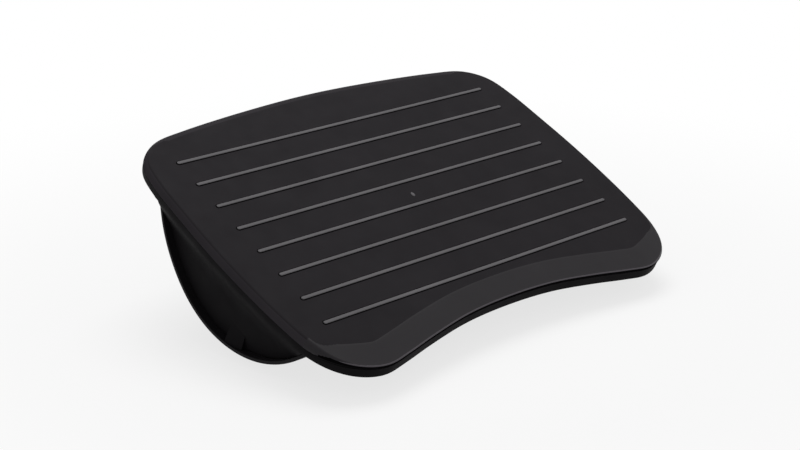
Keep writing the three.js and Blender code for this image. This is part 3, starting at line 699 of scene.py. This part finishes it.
def plate_look(step, front, back):
    """Finish of a face of the plate, with the painted highlights and painted shade among the finishes, by its step
    up the rolled edge, how far the front band has set in there and how far back it lies as a share of the depth."""
    above = step - PAINTED_SHADE_STEPS
    if step >= 0 and back > BACK_LIGHT_SHARE + BACK_TAPER_SHARE * step / (ROLL_STEPS + BAND_STEPS):
        return BACK_PAINTED_LIGHT
    if above < 0 and front > PAINTED_SHADE_START_SHARE + LINE_TAPER_SHARE * (step + 1):
        return PAINTED_SHADE
    if 0 <= above < ROLL_STEPS - PAINTED_SHADE_STEPS and front > PAINTED_GLINT_START_SHARE + LINE_TAPER_SHARE * above:
        return PAINTED_GLINT
    if front > BAND_TAPER_SHARE * max(step - ROLL_STEPS, 0) / BAND_STEPS:
        return BORDER
    return ROLL_PAINTED_LIGHT if 0 <= step < PAINTED_LIGHT_STEPS else FIELD


def bar_across(y, levels):
    """Bar with round ends across the platform; each level holds (height, half breadth)."""
    straight = (STRIP_LENGTH - STRIP_WIDTH) / 2
    rings = []
    for height, half in levels:
        ends = [*arc(straight, y, half, -QUARTER, QUARTER, CORNER_STEPS),
                *arc(-straight, y, half, QUARTER, 3 * QUARTER, CORNER_STEPS)]
        rings.append(np.array([(px, py, height) for px, py in ends]))
    return loft(rings)


def plate_ribs():
    """Cross ribs, long ribs over the formers, and screw bosses under the plate."""
    low = FLOOR_TOP + SEAT_GAP
    root = -PLATE_THICK / 2
    rib_end = (PLATE_RIB_ROWS - 1) / 2 * PLATE_RIB_PITCH
    half = PLATE_RIB / 2
    ribs = [box(-PLATE_RIB_SPAN, PLATE_RIB_SPAN, y - half, y + half, low, root)
            for y in (rib_end - row * PLATE_RIB_PITCH for row in range(PLATE_RIB_ROWS))]
    ribs += [box(x - half, x + half, -rib_end, rib_end, low, root) for x in FORMER_XS]
    return ribs + [post(BOSS_RADIUS, low, root, x, y) for x, y in ALL_SCREW_PLACES]


def make_top_plate():
    looks = [BORDER, FIELD, ROLL_PAINTED_LIGHT, BACK_PAINTED_LIGHT, PAINTED_GLINT, PAINTED_SHADE]
    plate = loft(plate_profile(), cap_material=looks.index(FIELD))
    for material in looks:
        plate.data.materials.append(material)
    for i, face in enumerate(plate.data.polygons[1:-1]):
        row, column = divmod(i, OUTLINE_COUNT)
        look = plate_look(row - LIP_RINGS, FRONT[column], OUTLINE[column][1] / BACK_DEPTH)
        face.material_index = looks.index(look)
    join(plate, *plate_ribs())
    half = STRIP_WIDTH / 2 + GROOVE_GAP
    grooves = [bar_across(y, [(-STRIP_SEAT - SEAT_GAP, half), (CUT_OVERRUN, half)]) for y in STRIP_PLACES]
    pilots = [post(SCREW_RADIUS + SEAT_GAP, -ROLL_DROP - CUT_OVERRUN, SCREW_TIP + SEAT_GAP, x, y)
              for x, y in ALL_SCREW_PLACES]
    add_piece(cut(plate, *grooves, *pilots), "ribbed_top_plate", "platform", "plate_plastic", looks,
              "top_plate")


def make_grip_strips():
    shoulder = STRIP_PROUD - STRIP_ROUND
    for i, y in enumerate(STRIP_PLACES, 1):
        levels = [(-STRIP_SEAT, STRIP_WIDTH / 2), (shoulder - STRIP_ROUND, STRIP_WIDTH / 2)]
        for height, inset in arc(shoulder, 0, STRIP_ROUND, QUARTER, 0, FILLET_STEPS)[:-1]:
            levels.append((height, STRIP_WIDTH / 2 - STRIP_ROUND + inset))
        levels.append((STRIP_PROUD, STRIP_WIDTH / 2 - STRIP_ROUND))
        strip = bar_across(y, levels)
        # Below that height the strip's sides take the housing's dark plastic: painted shade beside each strip.
        for face in strip.data.polygons:
            face.material_index = int(face.center.z < STRIP_PAINTED_SHADE_LEVEL)
        add_piece(strip, f"grip_rib_{i}", "platform", "grip_strip", [STRIP, HOUSING_PAINTED_SHADE], f"grip_strip_{i}")


def make_centre_mark():
    """Small raised oval that the moulding leaves between the two middle strips."""
    levels = [(0, 1), (MARK_PROUD / 2, 1), (MARK_PROUD, MARK_TOP_SHARE)]
    around = np.linspace(0, 4 * QUARTER, ROUND_SIDES, endpoint=False)
    across, along = (size / 2 for size in MARK_SIZE)
    mark = loft([np.column_stack([
        np.cos(around) * across * share, MARK_BACK + np.sin(around) * along * share,
        np.full(ROUND_SIDES, height),
    ]) for height, share in levels])
    add_piece(mark, "centre_mark", "platform", "grip_strip", [STRIP])


# Housing: perimeter wall, D-shaped cheeks, floor before and behind the drum
def wall_profile(top):
    """Inset at each drop below the lip, from the straight wall into the drawn-in cheek, evened out."""
    tuck = CHEEK_TUCK_DEPTH - ROLL_DROP
    knee = SIDE_WALL_INSET + (CHEEK_INSET - SIDE_WALL_INSET) * CHEEK_KNEE_INSET_SHARE
    lowest = -DEEPEST + top
    past_lowest = 2 * lowest
    deep_inset = CHEEK_INSET + CHEEK_DRAFT
    drops = [-tuck, SKIRT_DEPTH - ROLL_DROP, tuck * CHEEK_KNEE_DEPTH_SHARE, tuck, lowest, past_lowest]
    insets = [SIDE_WALL_INSET, SIDE_WALL_INSET, knee, CHEEK_INSET, deep_inset, deep_inset]
    fine = np.arange(-tuck, past_lowest)
    rows = np.interp(fine, drops, insets)
    reach = CHEEK_REACH * CHEEK_SMOOTH
    weights = bell(np.arange(-reach, reach + 1), CHEEK_SMOOTH)
    rows = np.convolve(np.pad(rows, reach, mode="edge"), weights, mode="valid")
    return lambda drop: float(np.interp(drop, fine, rows))


def make_formers():
    """Upright webs that carry the drum's skin, each with a window left open in the middle."""
    window_radius = CHEEK_RADIUS - FORMER_RIM
    top_angle = math.asin((DRUM_UP - FLOOR_TOP) / CHEEK_RADIUS)
    window_angle = math.asin((DRUM_UP - FLOOR_TOP + FORMER_RIM) / window_radius)
    edge = arc(DRUM_BACK, DRUM_UP, CHEEK_RADIUS, top_angle - HALF, -top_angle, ARC_STEPS)
    window = arc(DRUM_BACK, DRUM_UP, window_radius, window_angle - HALF, -window_angle, SLOT_STEPS)
    half = FORMER_THICK / 2
    first, *others = [drawn_along_x(edge, x - half, x + half) for x in FORMER_XS]
    return cut(join(first, *others), drawn_along_x(window, -BEYOND, BEYOND))


def make_housing():
    side_top = -ROLL_DROP - SEAT_GAP
    front_top = -FRONT_LIP_DROP - SEAT_GAP
    inset_at = wall_profile(side_top)
    lowest = side_top - DEEPEST
    drops = np.linspace(lowest, SHADOW_HEIGHT, WALL_RINGS)
    step_foot = SHADOW_HEIGHT - STEP_SLOPE
    outer = loft([ring((inset_at(drop), WALL_INSET), (side_top - drop, front_top - drop)) for drop in drops]
                 + [ring((SIDE_WALL_INSET, SHADOW_STEP), (side_top - drop, front_top - drop))
                    for drop in (step_foot, 0)])
    inner = loft([ring((CHEEK_INSET + CHEEK_DRAFT + WALL, WALL_INSET + WALL), DEEPEST - WALL)]
                 + [ring((inset_at(drop) + WALL, WALL_INSET + WALL), (side_top - drop, front_top - drop))
                    for drop in drops]
                 + [ring((SIDE_WALL_INSET + WALL, SHADOW_STEP + WALL), CUT_OVERRUN)])
    keep = drawn_along_x([
        *under_line(CHEEK_RADIUS, -SKIRT_DEPTH, FRONT_FILLET, BACK_FILLET, -BEYOND, BEYOND),
        (BEYOND, CUT_OVERRUN), (-BEYOND, CUT_OVERRUN),
    ], -BEYOND, BEYOND)
    room = common(outer, keep)
    floor = box(-BEYOND, BEYOND, -BEYOND, BEYOND, -FLOOR_DROP, FLOOR_TOP)
    well = math.sqrt(INNER_RADIUS ** 2 - (DRUM_UP - FLANGE_TOP) ** 2) - FLOOR_LAP
    cut(floor, box(-BEYOND - CUT_OVERRUN, BEYOND + CUT_OVERRUN, DRUM_BACK - well, DRUM_BACK + well,
                   -SKIRT_DEPTH, 0))
    copy = solid([v.co for v in room.data.vertices], [tuple(p.vertices) for p in room.data.polygons])
    common(floor, copy)
    housing = join(cut(room, inner), floor, make_formers())

    lug_from = LUG_ANGLE - LUG_HALF_ANGLE - QUARTER
    lug_to = LUG_ANGLE + LUG_HALF_ANGLE - QUARTER
    lug_root = CHEEK_INSET + CHEEK_DRAFT + WALL / 2
    lug_foot = DRUM_UP - CHEEK_RADIUS
    lugs = drawn_along_x([
        *arc(DRUM_BACK, DRUM_UP, CHEEK_RADIUS, lug_from, lug_to, FILLET_STEPS),
        *arc(DRUM_BACK, DRUM_UP, CHEEK_RADIUS - LUG_HEIGHT, lug_to, lug_from, FILLET_STEPS),
    ], -BEYOND, BEYOND)
    common(lugs, loft([ring(LUG_INSET, DEEPEST), ring(LUG_INSET, lug_foot),
                       ring(lug_root, lug_foot + LUG_HEIGHT)]))
    cut(lugs, outline_solid(lug_root, DEEPEST - CUT_OVERRUN, CUT_OVERRUN))
    join(housing, lugs)

    skin_room = drum_sector(CHEEK_RADIUS, DRUM_RADIUS + 2 * SEAT_GAP, -SKIRT_DEPTH)
    holes = [post(SCREW_HOLE, -SKIRT_DEPTH, 0, x, y) for x, y in ALL_SCREW_PLACES]
    add_piece(cut(housing, skin_room, *holes), "housing_shell", "platform", "housing_plastic",
              [HOUSING_PAINTED_SHADE], "lower_housing")


# Curved drum: skin with bare ends, screw flanges and the two arc slots
def make_runner():
    flange_thick = SKIRT_DEPTH + FLANGE_TOP
    outside = under_line(DRUM_RADIUS, -SKIRT_DEPTH, FRONT_FILLET, BACK_FILLET, FRONT_FLANGE_END,
                         BACK_FLANGE_END)
    inside = under_line(INNER_RADIUS, FLANGE_TOP, FRONT_FILLET + flange_thick, BACK_FILLET + flange_thick,
                        FRONT_FLANGE_END, BACK_FLANGE_END)
    skin = drawn_along_x(outside + inside[::-1], -BEYOND, BEYOND)
    common(skin, outline_solid(RIM_INSET, DEEPEST, 0))
    room = outline_solid(CHEEK_INSET + WALL + SEAT_GAP, DEEPEST - CUT_OVERRUN, 0)
    join(room, drum_sector(INNER_RADIUS - CUT_OVERRUN, DRUM_RADIUS + SEAT_GAP, UNDER_SKIRT))
    runner = common(skin, room)

    half_slot = BOLT_RADIUS + SLOT_CLEARANCE
    slot_from = -QUARTER - TILT_UP - half_slot / DRUM_RADIUS
    slot_to = -QUARTER + TILT_BACK + half_slot / DRUM_RADIUS
    slots = [drawn_along_x([
        *arc(DRUM_BACK, DRUM_UP, DRUM_RADIUS + CUT_OVERRUN, slot_from, slot_to, SLOT_STEPS),
        *arc(DRUM_BACK, DRUM_UP, INNER_RADIUS - CUT_OVERRUN, slot_to, slot_from, SLOT_STEPS),
    ], x - half_slot, x + half_slot) for x in CLAMPS.values()]
    sink = SCREW_HEAD + SEAT_GAP
    sinks = [turned([
        (0, -SKIRT_DEPTH - CUT_OVERRUN), (sink, -SKIRT_DEPTH - CUT_OVERRUN), (sink, -SKIRT_DEPTH),
        (SCREW_HOLE, -SKIRT_DEPTH + COUNTERSINK_THICK), (SCREW_HOLE, 0), (0, 0),
    ], x, y) for x, y in RUNNER_SCREW_PLACES]
    add_piece(cut(runner, *slots, *sinks), "drum_runner", "platform", "runner_plastic", [RUNNER],
              "curved_runner")


def rounded_head(radius, thick, seat):
    """Head below its seat: flat middle, rounded shoulder, straight rim."""
    flat = radius * DOME_SHARE
    shoulder = arc(0, 0, 1, -QUARTER, 0, FILLET_STEPS)
    return [(0, seat - thick)] + [
        (flat + (radius - flat) * out, seat - thick / 2 + thick / 2 * up) for out, up in shoulder
    ] + [(radius, seat)]


# Screws with a cross recess, pointing up
def screw(seat, x, y, countersunk):
    head = seat if countersunk else seat - SCREW_HEAD_THICK
    if countersunk:
        profile = [(0, seat), (SCREW_HEAD, seat), (SCREW_RADIUS, seat + COUNTERSINK_THICK)]
    else:
        profile = rounded_head(SCREW_HEAD, SCREW_HEAD_THICK, seat) + [(SCREW_RADIUS, seat)]
    profile += [(SCREW_RADIUS, SCREW_TIP - SCREW_RADIUS), (0, SCREW_TIP)]
    reach = SCREW_HEAD * RECESS_SPAN_SHARE
    half = RECESS_WIDTH / 2
    low = head - CUT_OVERRUN
    high = head + RECESS_DEPTH
    return cut(turned(profile, x, y), box(x - reach, x + reach, y - half, y + half, low, high),
               box(x - half, x + half, y - reach, y + reach, low, high))


def make_screws():
    for i, (x, y) in enumerate(HOUSING_SCREW_PLACES, 1):
        add_piece(screw(-FLOOR_DROP - SEAT_GAP, x, y, False), f"pan_head_screw_{i}", "platform", "steel",
                  [STEEL], f"housing_screw_{i}")
    for i, (x, y) in enumerate(RUNNER_SCREW_PLACES, 1):
        add_piece(screw(-SKIRT_DEPTH, x, y, True), f"flat_head_screw_{i}", "platform", "steel",
                  [STEEL], f"runner_screw_{i}")


# Base tray with its cradles, in the base's own axes: y from the arc centre, z from the floor
def arc_band(outside, inside, start, end, x0, x1):
    return drawn_along_x([
        *arc(0, ARC_HEIGHT, outside, start - QUARTER, end - QUARTER, ARC_STEPS),
        *arc(0, ARC_HEIGHT, inside, end - QUARTER, start - QUARTER, ARC_STEPS),
    ], x0, x1)


def cradle(x0, x1, radius, low, start, end):
    """Block under the drum whose top follows the arc."""
    return drawn_along_x([
        (radius * math.sin(start), low), (radius * math.sin(end), low),
        *arc(0, ARC_HEIGHT, radius, end - QUARTER, start - QUARTER, SLOT_STEPS),
    ], x0, x1)


def tray_ring(inset, height):
    """Ring inside the tray's outline, which has rounded corners."""
    right = TRAY_HALF_WIDTH - TRAY_CORNER
    back = TRAY_BACK - TRAY_CORNER
    front = TRAY_FRONT + TRAY_CORNER
    points = []
    for quarter, (x, y) in enumerate(((right, back), (-right, back), (-right, front), (right, front))):
        points += arc(x, y, TRAY_CORNER - inset, quarter * QUARTER, (quarter + 1) * QUARTER, CORNER_STEPS)
    return np.array([(x, y, height) for x, y in points])


def tray_solid():
    rings = []
    for out, up in arc(0, 0, TRAY_EDGE, -QUARTER, 0, FILLET_STEPS):
        rings.append(tray_ring(TRAY_EDGE - out, FOOT_HEIGHT + TRAY_EDGE + up))
    for out, up in arc(0, 0, TRAY_EDGE, 0, QUARTER, FILLET_STEPS):
        rings.append(tray_ring(TRAY_EDGE - out, TRAY_RIM_TOP - TRAY_EDGE + up))
    return loft(rings)


def tray_hollow():
    floor = FOOT_HEIGHT + TRAY_THICK
    rings = []
    for out, up in arc(0, 0, TRAY_EDGE, -QUARTER, 0, FILLET_STEPS):
        rings.append(tray_ring(TRAY_WALL + TRAY_EDGE - out, floor + TRAY_EDGE + up))
    rings.append(tray_ring(TRAY_WALL, TRAY_RIM_TOP + CUT_OVERRUN))
    return loft(rings)


FOOT_PLACES = [(x, y) for y in (TRAY_FRONT + FOOT_INSET, TRAY_BACK - FOOT_INSET)
               for x in (FOOT_INSET - TRAY_HALF_WIDTH, TRAY_HALF_WIDTH - FOOT_INSET)]


def make_tray():
    tray = cut(tray_solid(), tray_hollow())
    rib_end = TRAY_HALF_WIDTH - TRAY_WALL / 2
    ribs = [box(-rib_end, rib_end, share * TRAY_BACK, share * TRAY_BACK + TRAY_WALL, FOOT_HEIGHT + TRAY_WALL,
                TRAY_RIB_TOP) for share in TRAY_RIB_SHARES]
    join(tray, *ribs)
    circle = arc(0, ARC_HEIGHT, SEAT_RADIUS, 0, 4 * QUARTER, CIRCLE_STEPS)[:-1]
    cut(tray, drawn_along_x(circle, -HALF_WIDTH, HALF_WIDTH))
    start, end = CRADLE_ANGLES
    turn_in = TRAY_WALL / SEAT_RADIUS
    cuts = []
    for x in CLAMPS.values():
        x0 = x - CRADLE_HALF_WIDTH
        x1 = x + CRADLE_HALF_WIDTH
        join(tray, cradle(x0, x1, SEAT_RADIUS, FOOT_HEIGHT, start, end))
        pocket = cradle(x0 + TRAY_WALL, x1 - TRAY_WALL, SEAT_RADIUS + TRAY_THICK, FOOT_HEIGHT - CUT_OVERRUN,
                        start + turn_in, end - turn_in)
        cuts.append(cut(pocket, box(x - LINER_RADIUS, x + LINER_RADIUS, -LINER_RADIUS, LINER_RADIUS, 0,
                                    TRAY_RIM_TOP)))
        cuts.append(post(BOLT_RADIUS + SEAT_GAP, 0, TRAY_RIM_TOP, x, 0))
        cuts.append(post(BOLT_HEAD_RADIUS + SEAT_GAP, 0, FOOT_HEIGHT + BOLT_POCKET_DEPTH, x, 0))
    for x, y in FOOT_PLACES:
        cuts.append(post(FOOT_STEM + SEAT_GAP, 0, FOOT_HEIGHT + TRAY_THICK + CUT_OVERRUN, x, y))
    add_piece(cut(tray, *cuts), "tray_moulding", "base", "tray_plastic", [TRAY], "base_tray")


def make_glide_pads():
    start, end = PAD_ANGLES
    low = DRUM_RADIUS + SEAT_GAP + PAD_THICK
    for side, x in CLAMPS.items():
        for place, shift in (("outer", 1), ("inner", -1)):
            middle = x + math.copysign(1, x) * shift * PAD_OFFSET
            pad = arc_band(low, low - PAD_THICK, start, end, middle - PAD_WIDTH / 2, middle + PAD_WIDTH / 2)
            add_piece(pad, f"{side}_{place}_pad", "base", "glide_pad", [PAD], f"{side}_{place}_glide_pad")


def make_feet():
    foot_top = FOOT_HEIGHT - SEAT_GAP
    bulb_foot = FOOT_HEIGHT + TRAY_THICK + SEAT_GAP
    bulb_top = bulb_foot + FOOT_BULB_HEIGHT
    for i, (x, y) in enumerate(FOOT_PLACES, 1):
        profile = [
            (0, 0), *arc(FOOT_RADIUS - FOOT_EASE, FOOT_EASE, FOOT_EASE, -QUARTER, 0, FILLET_STEPS),
            (FOOT_RADIUS, foot_top), (FOOT_STEM, foot_top), (FOOT_STEM, bulb_foot), (FOOT_BULB, bulb_foot),
            (FOOT_STEM, bulb_top), (0, bulb_top),
        ]
        add_piece(turned(profile, x, y), f"snap_foot_{i}", "base", "rubber", [RUBBER], f"rubber_foot_{i}")


def make_bolts():
    seat = FOOT_HEIGHT + BOLT_POCKET_DEPTH - SEAT_GAP
    for side, x in CLAMPS.items():
        node = f"{side}_clamp_bolt"
        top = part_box(node)[1].z / MM
        profile = rounded_head(BOLT_HEAD_RADIUS, BOLT_HEAD_THICK, seat) + [
            (BOLT_RADIUS, seat), (BOLT_RADIUS, top - BOLT_CHAMFER), (BOLT_RADIUS - BOLT_CHAMFER, top),
            (0, top),
        ]
        add_piece(turned(profile, x), f"{side}_round_bolt", "base", "steel", [STEEL], node)


def dress_clamp_pieces():
    """The clamps' small pieces keep their CAD shape and get their own finishes."""
    looks = {
        "friction_liner": LINER, "clamp_shoe": CAST,
        "disc_spring": STEEL, "clamp_washer": STEEL, "clamp_nut": STEEL,
    }
    for name, node in frame["nodes"].items():
        for ending, material in looks.items():
            if name.endswith(ending):
                node.data.materials.clear()
                node.data.materials.append(material)


make_top_plate()
make_grip_strips()
make_centre_mark()
make_housing()
make_runner()
make_screws()
make_tray()
make_glide_pads()
make_feet()
make_bolts()
dress_clamp_pieces()


# Camera at the photograph's viewing angle
PHOTO_WIDTH_PX = 800
PHOTO_FOCAL_PX = 1640.5
CENTRE_RIGHT_PX = 11.2      # where the platform's middle lies from the photograph's middle
CENTRE_UP_PX = 32.4
VIEW_DEPTH = 1.5532         # metres
VIEW_AZIMUTH = -42.29 * DEG
VIEW_ELEVATION = 19.73 * DEG
SENSOR = 36


def make_camera():
    data = bpy.data.cameras.new("camera")
    data.sensor_width = SENSOR
    data.lens = SENSOR * PHOTO_FOCAL_PX / PHOTO_WIDTH_PX
    camera = bpy.data.objects.new("camera", data)
    bpy.context.scene.collection.objects.link(camera)
    back = Vector((math.sin(VIEW_AZIMUTH) * math.cos(VIEW_ELEVATION),
                   -math.cos(VIEW_AZIMUTH) * math.cos(VIEW_ELEVATION), math.sin(VIEW_ELEVATION)))
    turn = (-back).to_track_quat("-Z", "Y")
    aside = turn @ Vector((CENTRE_RIGHT_PX, CENTRE_UP_PX, 0)) * VIEW_DEPTH / PHOTO_FOCAL_PX
    camera.rotation_mode = "QUATERNION"
    camera.rotation_quaternion = turn
    camera.location = platform_centre + back * VIEW_DEPTH - aside
    bpy.context.scene.camera = camera


# Studio, in metres: pale floor, white surroundings, soft light from above
FLOOR_RADIUS = 12
FLOOR_SIDES = 64
FLOOR_TONE = 0.95
FLOOR_FADE_START = 0.3
FLOOR_FADE_END = 0.8
FLOOR_WHITE_NEAR = 0.75     # how much of the floor's white is seen as such close to the object
AMBIENT = 0.42
KEY_PLACE = (0.35, 0.5, 2.0)
KEY_SIZE = 1.6
KEY_POWER = 22              # watts


def shown_white(nodes, links):
    """1 for rays from the camera, off gloss or through glass, so that these see the white surroundings."""
    path = nodes.new("ShaderNodeLightPath")
    total = None
    for ray in ("Is Camera Ray", "Is Glossy Ray", "Is Transmission Ray"):
        if total is None:
            total = path.outputs[ray]
            continue
        both = nodes.new("ShaderNodeMath")
        both.operation = "MAXIMUM"
        links.new(total, both.inputs[0])
        links.new(path.outputs[ray], both.inputs[1])
        total = both.outputs["Value"]
    return total


def make_world():
    world = bpy.data.worlds.new("studio")
    bpy.context.scene.world = world
    world.use_nodes = True
    nodes = world.node_tree.nodes
    links = world.node_tree.links
    background = nodes["Background"]
    background.inputs["Color"].default_value = (1, 1, 1, 1)
    strength = nodes.new("ShaderNodeMapRange")
    strength.inputs["To Min"].default_value = AMBIENT
    strength.inputs["To Max"].default_value = 1
    links.new(shown_white(nodes, links), strength.inputs["Value"])
    links.new(strength.outputs["Result"], background.inputs["Strength"])


def make_floor():
    floor = turned([(0, 0), (FLOOR_RADIUS, 0)], sides=FLOOR_SIDES)
    floor.name = "floor"
    material = bpy.data.materials.new("floor")
    material.use_nodes = True
    nodes = material.node_tree.nodes
    links = material.node_tree.links
    nodes.clear()
    place = nodes.new("ShaderNodeTexCoord")
    length = nodes.new("ShaderNodeVectorMath")
    length.operation = "LENGTH"
    fade = nodes.new("ShaderNodeMapRange")
    fade.interpolation_type = "SMOOTHSTEP"
    fade.inputs["From Min"].default_value = FLOOR_FADE_START
    fade.inputs["From Max"].default_value = FLOOR_FADE_END
    fade.inputs["To Min"].default_value = FLOOR_WHITE_NEAR
    diffuse = nodes.new("ShaderNodeBsdfDiffuse")
    diffuse.inputs["Color"].default_value = (FLOOR_TONE, FLOOR_TONE, FLOOR_TONE, 1)
    white = nodes.new("ShaderNodeEmission")
    seen = nodes.new("ShaderNodeMath")
    seen.operation = "MULTIPLY"
    mix = nodes.new("ShaderNodeMixShader")
    output = nodes.new("ShaderNodeOutputMaterial")
    links.new(place.outputs["Object"], length.inputs[0])
    links.new(length.outputs["Value"], fade.inputs["Value"])
    links.new(shown_white(nodes, links), seen.inputs[0])
    links.new(fade.outputs["Result"], seen.inputs[1])
    links.new(seen.outputs["Value"], mix.inputs["Fac"])
    links.new(diffuse.outputs["BSDF"], mix.inputs[1])
    links.new(white.outputs["Emission"], mix.inputs[2])
    links.new(mix.outputs["Shader"], output.inputs["Surface"])
    floor.data.materials.append(material)


def make_key_light():
    data = bpy.data.lights.new("key", "AREA")
    data.shape = "DISK"
    data.size = KEY_SIZE
    data.energy = KEY_POWER
    light = bpy.data.objects.new("key", data)
    bpy.context.scene.collection.objects.link(light)
    light.location = KEY_PLACE
    light.rotation_mode = "QUATERNION"
    light.rotation_quaternion = (platform_centre - Vector(KEY_PLACE)).to_track_quat("-Z", "Y")


make_camera()
make_world()
make_floor()
make_key_light()
bpy.context.scene.view_settings.view_transform = "Standard"
